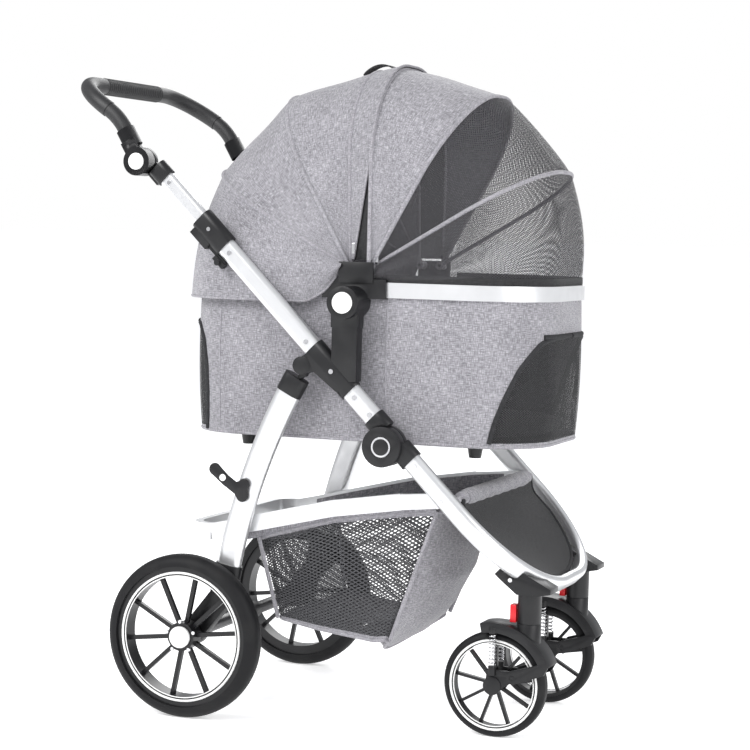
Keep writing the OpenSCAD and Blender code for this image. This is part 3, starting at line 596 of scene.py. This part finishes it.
rim_line = plan_curve(0.001, 0.7385, forward(300), COUNT_ACROSS)
front_bow_line = bow_curve(*BOWS["front"])
drop_rows = []
for part in np.linspace(0, 1, 17):
    row = front_bow_line * (1 - part) + rim_line * part
    swell = math.sin(math.pi * part) * 0.012
    away = row - np.array([forward(330), 0, 0.78])
    away[:, 2] *= 0.3
    away /= np.linalg.norm(away, axis=1, keepdims=True) + 1e-9
    drop_rows.append(row + away * swell)
front_drop = lay_sheet("front_netting", drop_rows, [FINE_MESH], "front_hood", thickness=0.0008)
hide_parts("front_hood_mesh")
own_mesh(front_drop)

# %% [markdown]
# The rear hood is one piece of cloth over three bows. Its front edge is a flap that covers the zip, and
# its tail hangs as a valance round the back of the carrier.

# %% Rear hood: flap, three bows and valance
zip_edge, rear_zip_line = bow_curve(*BOWS["front_zip"]), bow_curve(*BOWS["rear_zip"])
height_share = np.clip((rear_zip_line[:, 2] - PIVOT_Z) / 0.33, 0, 1)
cover = (0.10 + 0.92 * np.clip(height_share / 0.55, 0, 1) ** 0.9)[:, None]
flap_edge = rear_zip_line * (1 - cover) + zip_edge * cover
flap_edge[:, 2] += 0.007 * height_share
flap_edge[:, 1] *= 1.012
rear_rows = [flap_edge * (1 - p) + rear_zip_line * p for p in np.linspace(0, 0.85, 5)]
rear_rows += between_bows("rear_zip", "rear_middle", 16, 0.026)
rear_rows += between_bows("rear_middle", "rear", 18, 0.032)[1:]
side_hem = [(forward(240), -0.1885, 0.762), (forward(233), -0.1895, 0.744), (forward(216), -0.190, 0.722),
            (forward(190), -0.190, 0.706)]
back_hem = plan_curve(0.019, 0.703, forward(180), 60, front=False)
hem = spread(side_hem + [tuple(p) for p in back_hem] + [(x, -y, z) for x, y, z in side_hem[::-1]],
             COUNT_ACROSS)
rear_line = bow_curve(*BOWS["rear"])
for part in np.linspace(0, 1, 18)[1:]:
    row = rear_line * (1 - part) + hem * part
    away = row - np.array([forward(150), 0, 0.74])
    away[:, 2] *= 0.4
    away /= np.linalg.norm(away, axis=1, keepdims=True) + 1e-9
    rear_rows.append(row + away * math.sin(math.pi * part) * 0.012)
rear_rows = wrinkle(rear_rows, 0.0026, 5)
rear_cloth = lay_sheet("rear_hood_cloth", rear_rows, [GREY_CLOTH])
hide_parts("rear_hood_fabric")
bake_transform(rear_cloth)

# %% Hem cords and the zip tape between the two hoods
for label, line in (("flap_edge_cord", flap_edge), ("valance_cord", hem)):
    cord = tube_along(label, line + np.array([0, 0, 0.0]), 0.0022, GREY_BINDING)
    if label == "flap_edge_cord":
        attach(cord, "rear_hood")
    else:
        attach(cord, "carrier")
tape_rows = [rear_zip_line * (1 - p) + zip_edge * p for p in np.linspace(0.03, 0.97, 7)]
tape_rows = np.array(tape_rows)
tape_rows[..., 1] *= 0.985
tape_rows[..., 2] -= 0.004 * height_share
zip_tape = lay_sheet("canopy_zip_tape", tape_rows, [DARK_CLOTH], "carrier")

# %% [markdown]
# A carry strap stands in a low loop on top of the canopy, and each zip has a small metal pull.

# %% Carry strap and zip pulls
strap_rows = []
for y in np.linspace(-0.014, 0.014, 7):
    strap_rows.append([(forward(205 + 62 * t), y, 1.0865 + 0.004 * t + 0.016 * math.sin(math.pi * t) ** 0.7)
                       for t in np.linspace(0, 1, 33)])
strap = lay_sheet("carry_strap", strap_rows, [DARK_CLOTH], "rear_hood", thickness=0.0022)
pulls = []
for side in (-1, 1):
    for x, y, z in ((262, 0.186, 0.792), (300, 0.176, 0.775)):
        bpy.ops.object.select_all(action="DESELECT")
        bpy.ops.mesh.primitive_cube_add(size=1, location=(forward(x), side * y, z))
        pull = bpy.context.object
        pull.scale = (0.0055, 0.0016, 0.017)
        bpy.ops.object.transform_apply(location=True, rotation=True, scale=True)
        soft = pull.modifiers.new("soft", "BEVEL")
        soft.width = 0.0006
        soft.segments = 2
        bpy.ops.object.modifier_apply(modifier=soft.name)
        pull.data.materials.append(BRIGHT_STEEL)
        pulls.append(pull)
zip_pulls = join_pieces("zip_pulls", pulls)
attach(zip_pulls, "carrier")

# %% [markdown]
# ## Carrier walls
# The walls are one band of cloth round the carrier's rounded plan, a little fuller halfway up. Dense
# black netting fills a window at the front and one at the back, each with a bound edge.

# %% Carrier walls with windows
FLOOR_Z, RIM_Z = 0.4865, 0.7355
front_half = plan_curve(0.0, 0, forward(260), 150)
back_half = plan_curve(0.0, 0, forward(260), 150, front=False)[::-1]
ring = np.vstack([front_half, back_half[1:]])
ring = spread(ring, 421)
centre_x = (CARRIER_FRONT + CARRIER_BACK) / 2
WALL_ROWS = 64
wall_rows = []
for part in np.linspace(0, 1, WALL_ROWS):
    row = ring.copy()
    full = math.sin(math.pi * part) * 0.0035 - (1 - part) ** 4 * 0.004
    outward = row - np.array([centre_x, 0, 0])
    outward[:, 0] *= 0.35
    outward[:, 2] = 0
    outward /= np.linalg.norm(outward, axis=1, keepdims=True)
    row += outward * full
    row[:, 2] = FLOOR_Z - 0.012 + part * (RIM_Z - FLOOR_Z + 0.012)
    wall_rows.append(row)
FRONT_WINDOW = [(499, 0.482), (507, 0.515), (522, 0.556), (541, 0.602), (566, 0.645), (582, 0.655)]
BACK_WINDOW = [(-12, 0.478), (-8, 0.52), (-10, 0.58), (-20, 0.63), (-36, 0.655), (-58, 0.66)]


def window_of(place):
    x, z = (place.x - AXLE_X) * 1000, place.z
    front_edge = np.interp(z, [p[1] for p in FRONT_WINDOW], [p[0] for p in FRONT_WINDOW])
    back_edge = np.interp(z, [p[1] for p in BACK_WINDOW], [p[0] for p in BACK_WINDOW])
    if z < 0.655 and x > front_edge and z > 0.484:
        return 1
    if z < 0.66 and x < back_edge and z > 0.484:
        return 1
    return 0


wall = lay_sheet("carrier_walls", wall_rows, [GREY_CLOTH, WINDOW_MESH], closed=True, thickness=0.0024,
                 chooser=lambda place, u, v: window_of(place))
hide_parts("carrier_tub")
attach(wall, "carrier")
WALL = np.array(wall_rows)


def on_wall(x_mm, z, side):
    """A point on the wall's surface nearest to a given place on one side."""
    share = np.clip((z - WALL[0, 0, 2]) / (WALL[-1, 0, 2] - WALL[0, 0, 2]), 0, 1) * (WALL_ROWS - 1)
    low = min(int(share), WALL_ROWS - 2)
    row = WALL[low] * (1 - share + low) + WALL[low + 1] * (share - low)
    near = row[row[:, 1] * side > 0.0]
    near = near[np.argsort(near[:, 0])]
    return (forward(x_mm), np.interp(forward(x_mm), near[:, 0], near[:, 1]) + side * 0.0015, z)


bindings = []
for side in (-1, 1):
    for label, edge in (("front", FRONT_WINDOW), ("back", BACK_WINDOW)):
        dense = spread([(x, 0, z) for x, z in edge], 24)
        line = [on_wall(x, z, side) for x, _, z in dense]
        bindings.append(tube_along("window_binding", line, 0.0042, DARK_BINDING))
for label, z, way in (("front", 0.655, 1), ("back", 0.66, -1)):
    level = WALL[int(round((z - WALL[0, 0, 2]) / (WALL[-1, 0, 2] - WALL[0, 0, 2]) * (WALL_ROWS - 1)))]
    along = (level[:, 0] - AXLE_X) * 1000
    keep = level[along > 580 - 14] if way > 0 else level[along < -44]
    keep = keep[np.argsort(keep[:, 1])]
    bindings.append(tube_along("window_binding", [(p[0] + way * 0.001, p[1], z) for p in keep], 0.0042,
                               DARK_BINDING))
low_line = [(p[0], p[1], FLOOR_Z - 0.010) for p in WALL[0][:-1]]
bindings.append(tube_along("window_binding", low_line, 0.003, GREY_BINDING, loop=True))
for side in (-1, 1):
    bindings.append(tube_along("seam", [on_wall(323, z, side) for z in np.linspace(0.487, 0.71, 20)],
                               0.0012, GREY_BINDING))
    bindings.append(tube_along("seam", [on_wall(20, z, side) for z in np.linspace(0.487, 0.70, 20)], 0.0012,
                               GREY_BINDING))
binding = join_pieces("carrier_bindings", bindings)
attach(binding, "carrier")

# %% Zip band along the rim
band_rows = [plan_curve(0.0022, z, forward(318), 120) for z in (0.7378, 0.7405, 0.7455, 0.7505)]
zip_band = lay_sheet("rim_zip_band", band_rows, [DARK_CLOTH], "carrier", thickness=0.002)

# %% [markdown]
# ## Cushion
# A crowned pad that fills the carrier's floor. It starts as a low rounded slab, is given an even skin
# by a voxel remesh, and is then blown up by a short cloth simulation with pressure inside.

# %% Cushion
PAD_LOW, PAD_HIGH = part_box("cushion")
bpy.ops.object.select_all(action="DESELECT")
bpy.ops.mesh.primitive_cylinder_add(vertices=96, radius=1, depth=1, location=(0, 0, 0))
pad = bpy.context.object
pad.name = pad.data.name = "cushion_pad"
for spot in pad.data.vertices:
    turn = math.atan2(spot.co.y, spot.co.x)
    c, s = math.cos(turn), math.sin(turn)
    mid_x = (PAD_LOW.x + PAD_HIGH.x) / 2
    half_x = (PAD_HIGH.x - PAD_LOW.x) / 2 - 0.006
    half_y = PAD_HIGH.y - 0.006
    power = 3.2
    reach = (abs(c / half_x) ** power + abs(s / half_y) ** power) ** (-1 / power)
    spot.co = (mid_x + c * reach, s * reach, PAD_LOW.z + 0.004 + (0.018 if spot.co.z > 0 else 0))
voxels = pad.modifiers.new("even_skin", "REMESH")
voxels.mode = "VOXEL"
voxels.voxel_size = 0.007
bpy.ops.object.modifier_apply(modifier=voxels.name)
before = np.array([v.co for v in pad.data.vertices])
cloth = pad.modifiers.new("stuffing", "CLOTH")
cloth.settings.use_pressure = True
cloth.settings.uniform_pressure_force = 4
cloth.settings.effector_weights.gravity = 0
for step in range(1, 15):
    bpy.context.scene.frame_set(step)
bpy.ops.object.modifier_apply(modifier=cloth.name)
after = np.array([v.co for v in pad.data.vertices])
move = after - before
size = np.linalg.norm(move, axis=1, keepdims=True)
move *= np.minimum(1, 0.006 / np.maximum(size, 1e-9))
after = before + move
after[:, 2] = np.clip(after[:, 2], PAD_LOW.z + 0.0005, PAD_HIGH.z + 0.006)
pad.data.vertices.foreach_set("co", after.reshape(-1).astype(np.float32))
bpy.context.scene.frame_set(1)
smooth = pad.modifiers.new("soft", "SMOOTH")
smooth.iterations = 6
bpy.ops.object.modifier_apply(modifier=smooth.name)
bpy.ops.object.shade_smooth()
pad.data.materials.append(CUSHION_CLOTH)
flat_map = pad.data.uv_layers.active or pad.data.uv_layers.new(name="cloth")
for loop in pad.data.loops:
    place = pad.data.vertices[loop.vertex_index].co
    flat_map.data[loop.index].uv = (place.x, place.y)
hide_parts("cushion")
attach(pad, "carrier")

# %% [markdown]
# ## Basket
# The bag hangs inside the rail. Level loops run from the rail down to the base, and the front swells
# out and sags. The sides and back are wide netting, the front and base grey cloth, with bound edges.

# %% Basket bag
def bag_loop(depth):
    """One level loop of the bag, from 0 at the rail to 1 at the base."""
    top = [(100, 0.302), (240, 0.343), (360, 0.361), (417, 0.368)]
    low = [(127, 0.163), (200, 0.150), (300, 0.139), (331, 0.143)]
    count = 40
    share = np.linspace(0, 1, count)
    x = np.interp(share, [0, 0.45, 0.82, 1], [t[0] * (1 - depth) + b[0] * depth for t, b in zip(top, low)])
    z = np.interp(share, [0, 0.45, 0.82, 1], [t[1] * (1 - depth) + b[1] * depth for t, b in zip(top, low)])
    half = 0.1765 * (1 - depth) + 0.150 * depth
    side = [(forward(a), -half, b) for a, b in zip(x, z)]
    across = np.linspace(-half, half, 42)
    swell = np.cos(across / half * math.pi / 2) ** 0.8
    stages = [0, 0.25, 0.5, 0.78, 0.9, 1]
    front_out = np.interp(depth, stages, [0.002, 0.022, 0.034, 0.016, -0.010, -0.050]) * swell
    front_drop_z = np.interp(depth, stages, [-0.012, -0.014, -0.016, -0.026, -0.034, -0.038]) * swell
    front = [(side[-1][0] + o, y, side[-1][2] + d) for y, o, d in zip(across, front_out, front_drop_z)]
    back_in = 0.006 * swell
    rear = [(side[0][0] + o, y, side[0][2] - 0.012 * s * (1 - depth))
            for y, o, s in zip(across[::-1], back_in, swell)]
    left = [(a, -y, b) for a, y, b in side[::-1]]
    return spread(side[2:-2] + front[1:-1] + left[2:-2] + rear[1:-1] + [side[2]], 241)


bag_rows = [bag_loop(d) for d in np.linspace(0, 1, 31)]
base_centre = bag_rows[-1].mean(0) + np.array([0, 0, -0.008])
for part in (0.15, 0.35, 0.55, 0.75, 0.9):
    row = bag_rows[30] * (1 - part) + base_centre * part
    row[:, 2] = bag_rows[30][:, 2] * (1 - part) ** 1.5 + base_centre[2] * (1 - (1 - part) ** 1.5)
    bag_rows.append(row)
BAG = np.array(bag_rows)


def bag_cloth(place, u, v):
    x = (place.x - AXLE_X) * 1000
    if v >= 29 or v < 1:
        return 0
    front_x = 417 + (331 - 417) * v / 30
    if x > front_x - 6 or abs(place.y) < 0.14 and x > 250:
        return 0
    return 1


bag = lay_sheet("basket_bag_cloth", bag_rows, [GREY_CLOTH, WIDE_NET], closed=True, thickness=0.0014,
                chooser=bag_cloth)
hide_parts("basket_bag")
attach(bag, "basket")
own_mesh(bag)
edges = []
for side in (-1, 1):
    for top, low in (((100, 0.302), (127, 0.163)), ((417, 0.368), (331, 0.143))):
        line = [(forward(top[0] * (1 - d) + low[0] * d), side * (0.1775 * (1 - d) + 0.151 * d),
                 top[1] * (1 - d) + low[1] * d)
                for d in np.linspace(0, 1, 24)]
        edges.append(tube_along("bag_binding", line, 0.0035, GREY_BINDING))
edges.append(tube_along("bag_binding", [tuple(p) for p in BAG[0][:-1]], 0.004, GREY_BINDING, loop=True))
edges.append(tube_along("bag_binding", [tuple(p) for p in BAG[30][:-1]], 0.003, GREY_BINDING, loop=True))
bag_edges = join_pieces("basket_bindings", edges)
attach(bag_edges, "basket")
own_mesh(bag_edges)

# %% Cloth sleeve that hangs the bag from the rail
RAIL_PATH = [(35, 311), (55, 316), (104, 329), (239, 362), (360, 381), (415, 386)]
sleeves = []
for side in (-1, 1):
    rows = []
    for drop, y in ((0.0, 0.1835), (-0.012, 0.1828), (-0.026, 0.1795), (-0.034, 0.1775)):
        line = spread([(forward(x), side * y, z / 1000 + 0.008 + drop) for x, z in RAIL_PATH[1:]], 50)
        rows.append(line if side < 0 else line[::-1])
    sleeve = lay_sheet("rail_sleeve", rows, [GREY_CLOTH], thickness=0.0014)
    sleeves.append(sleeve)
sleeve = join_pieces("rail_sleeves", sleeves)
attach(sleeve, "basket")

# %% [markdown]
# ## Footrest
# The bar is wrapped in grey padded cloth, and a dark panel fills the U of the front frame below it,
# sagging a little between its piped edges.

# %% Footrest panel and bar cover
FOOT = Vector((forward(349.53), 0, 0.48453))
DOWN = Vector((math.cos(math.radians(45)), 0, -math.sin(math.radians(45))))
NORMAL = Vector((math.cos(math.radians(45)), 0, math.sin(math.radians(45))))
panel_rows = []
bar_low, bar_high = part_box("footrest_bar")
bar_mid = ((bar_low.x + bar_high.x) / 2, (bar_low.z + bar_high.z) / 2)
bar_from_hub = Vector((bar_mid[0], 0, bar_mid[1])) - FOOT
bar_s, bar_n = bar_from_hub.dot(DOWN), bar_from_hub.dot(NORMAL)
print("footrest bar is", round(bar_s, 4), "down the frame and", round(bar_n, 4), "above its plane")
for s in np.linspace(bar_s + 0.004, 0.326, 26):
    half = 0.186 if s < 0.165 else 0.038 + math.sqrt(max(0.0, 0.157 ** 2 - (s - 0.165) ** 2)) - 0.001
    half = min(half, 0.186)
    row = []
    for y in np.linspace(-half, half, 61):
        sag = 0.011 * math.cos(y / half * math.pi / 2) * math.sin(math.pi * (s - 0.163) / 0.18)
        lift = (bar_n + 0.006) * max(0.0, 1 - (s - bar_s - 0.004) / 0.03) ** 2
        place = FOOT + DOWN * s + NORMAL * (lift - 0.001 - max(0.0, sag))
        row.append((place.x, y, place.z))
    panel_rows.append(row)
panel = lay_sheet("footrest_cloth", panel_rows, [DARK_CLOTH], "front_frame", thickness=0.004)
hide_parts("footrest_panel")
rim_path = [r[0] for r in panel_rows] + panel_rows[-1][1:-1] + [r[-1] for r in panel_rows[::-1]]
piping = tube_along("footrest_piping", rim_path, 0.004, DARK_BINDING, "front_frame")

cover_rows = []
for y in np.linspace(-0.165, 0.165, 60):
    puff = 0.0128 + 0.0005 * math.cos(y * 140) - 0.001 * max(0.0, abs(y) - 0.155) / 0.01
    cover_rows.append([(bar_mid[0] + puff * math.cos(t), y,
                        bar_mid[1] + puff * math.sin(t)) for t in np.linspace(0, 2 * math.pi, 33)])
cover = lay_sheet("footrest_bar_cover", cover_rows, [GREY_CLOTH], closed=True, thickness=0.0015)
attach(cover, "front_frame")

# %% [markdown]
# ## Springs and small metal parts
# Each front wheel has two coil springs. A coil is a helix given a round section.

# %% Coil springs
for side_name, side in (("right", -1), ("left", 1)):
    coils = []
    low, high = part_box("shock_springs_" + side_name)
    for way in (-1, 1):
        centre = (forward(514.4), side * 0.144 + way * 0.022)
        line = []
        for t in np.linspace(0, 1, 220):
            turn = t * 2 * math.pi * 8
            line.append((centre[0] + 0.0052 * math.cos(turn), centre[1] + 0.0052 * math.sin(turn),
                         low.z + 0.0012 + t * (high.z - low.z - 0.0024)))
        coils.append(tube_along("coil", line, 0.0012, BRIGHT_STEEL, sides=3))
    spring = join_pieces("coil_springs_" + side_name, coils)
    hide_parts("shock_springs_" + side_name)
    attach(spring, "caster_" + side_name)
    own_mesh(spring)


# %% [markdown]
# ## Wheel trim
# Each wheel carries a thin white ring beside the tread. Rear hubs show five bolts round the white cap.

# %% White rings and hub bolts
def ring_at(name, centre, radius, thick, material, body):
    bpy.ops.object.select_all(action="DESELECT")
    bpy.ops.mesh.primitive_torus_add(location=centre, rotation=(math.pi / 2, 0, 0), major_radius=radius,
                                     minor_radius=thick, major_segments=120, minor_segments=10)
    made = bpy.context.object
    bpy.ops.object.transform_apply(location=True, rotation=True, scale=True)
    made.name = made.data.name = name
    made.data.materials.append(material)
    bpy.ops.object.shade_smooth()
    if body:
        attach(made, body)
    return made


for side_name, side in (("right", -1), ("left", 1)):
    rings = []
    for kind, x, z, y, radius, face in (("rear", 0, 0.1375, 0.250, 0.1075, 0.0164),
                                        ("front", 514.4, 0.0869, 0.144, 0.0735, 0.0134)):
        parts = [ring_at("white_ring", (forward(x), side * (y + face), z), radius, 0.0020, WHITE_PLASTIC,
                         None),
                 ring_at("white_ring", (forward(x), side * (y + face), z), radius - 0.0052, 0.0009,
                         WHITE_PLASTIC, None)]
        trim = join_pieces(kind + "_wheel_ring_" + side_name, parts)
        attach(trim, kind + "_wheel_" + side_name)
    bolts = []
    for step in range(5):
        turn = math.radians(72 * step + 20)
        bpy.ops.object.select_all(action="DESELECT")
        bpy.ops.mesh.primitive_cylinder_add(
            vertices=6, radius=0.0032, depth=0.003, rotation=(math.pi / 2, 0, 0),
            location=(forward(0) + 0.0255 * math.cos(turn), side * (0.250 + 0.0165),
                      0.1375 + 0.0255 * math.sin(turn)))
        bolts.append(bpy.context.object)
        bpy.ops.object.transform_apply(location=True, rotation=True, scale=True)
        bolts[-1].data.materials.append(BRIGHT_STEEL)
    bolt_set = join_pieces("rear_hub_bolts_" + side_name, bolts)
    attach(bolt_set, "rear_wheel_" + side_name)
print("wheel trim made")

# %% [markdown]
# ## Softened plastic
# Moulded parts have rounded edges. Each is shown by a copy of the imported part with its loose
# triangles merged and a small bevel on every sharp edge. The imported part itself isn't changed.


# %% Softened copies of the moulded parts
def softened(name, width):
    original = frame["nodes"][name]
    copy = original.copy()
    copy.data = original.data.copy()
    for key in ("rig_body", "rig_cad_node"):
        if key in copy:
            del copy[key]
    copy.parent = None
    copy.name = copy.data.name = "soft_" + name
    bpy.context.scene.collection.objects.link(copy)
    bpy.ops.object.select_all(action="DESELECT")
    copy.select_set(True)
    bpy.context.view_layer.objects.active = copy
    bpy.ops.object.mode_set(mode="EDIT")
    bpy.ops.mesh.select_all(action="SELECT")
    bpy.ops.mesh.remove_doubles(threshold=0.00001)
    bpy.ops.mesh.dissolve_limited(angle_limit=math.radians(0.5))
    bpy.ops.object.mode_set(mode="OBJECT")
    edge = copy.modifiers.new("soft_edges", "BEVEL")
    edge.width = width
    edge.segments = 2
    edge.limit_method = "ANGLE"
    edge.angle_limit = math.radians(40)
    edge.use_clamp_overlap = True
    bpy.ops.object.modifier_apply(modifier=edge.name)
    bpy.ops.object.shade_smooth_by_angle(angle=math.radians(35))
    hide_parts(name)
    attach(copy, next(b for b, ns in frame["record"]["behaviour"]["bodies"].items() if name in ns))
    return copy


SOFT_PARTS = ["junction_brackets", "carrier_sockets", "collars", "handle_hubs",
              "handle_arms", "fold_hubs_upper", "fold_hubs_lower", "caster_housings",
              "caster_fork_right", "caster_fork_left", "suspension_arm_right", "suspension_arm_left",
              "axle_brackets", "fold_strap", "brake_pedal", "carrier_hubs",
              "carrier_base", "lock_lever_right", "lock_lever_left", "handle_button_right",
              "handle_button_left", "release_button_right", "release_button_left", "hub_cap_right",
              "hub_cap_left"]
for name in SOFT_PARTS:
    softened(name, 0.0009)
print("softened", len(SOFT_PARTS), "parts")


# %% Fold hub rings, hook button and handle ribs
def disc_at(name, place, radius, depth, material, body):
    bpy.ops.object.select_all(action="DESELECT")
    bpy.ops.mesh.primitive_cylinder_add(vertices=64, radius=radius, depth=depth, location=place,
                                        rotation=(math.pi / 2, 0, 0))
    made = bpy.context.object
    made.name = made.data.name = name
    bpy.ops.object.transform_apply(location=True, rotation=True, scale=True)
    soft = made.modifiers.new("soft", "BEVEL")
    soft.width = depth * 0.35
    soft.segments = 2
    bpy.ops.object.modifier_apply(modifier=soft.name)
    bpy.ops.object.shade_smooth_by_angle(angle=math.radians(40))
    made.data.materials.append(material)
    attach(made, body)
    return made


hub_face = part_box("front_frame_rivets")[1].y
for side_name, side in (("right", -1), ("left", 1)):
    disc_at("fold_hub_centre_" + side_name, (forward(338), side * (hub_face + 0.0004), 0.473), 0.0135, 0.0016,
            BLACK_PLASTIC, "front_frame")
hook_face = -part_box("fold_strap")[0].y
disc_at("hook_button", (forward(55), -(hook_face + 0.0002), 0.405), 0.0058, 0.0014, WHITE_PLASTIC,
        "rear_frame")
grip_low, grip_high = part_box("handle_grip")
GRIP_R = 0.014
ribs = [ring_at("rib", (grip_low.x + GRIP_R, y, grip_high.z - GRIP_R), GRIP_R - 0.0002, 0.0011,
                GRIP_LEATHER, None)
        for y in np.linspace(-0.1, 0.1, 29)]
grip_ribs = join_pieces("handle_grip_ribs", ribs)
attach(grip_ribs, "handle")
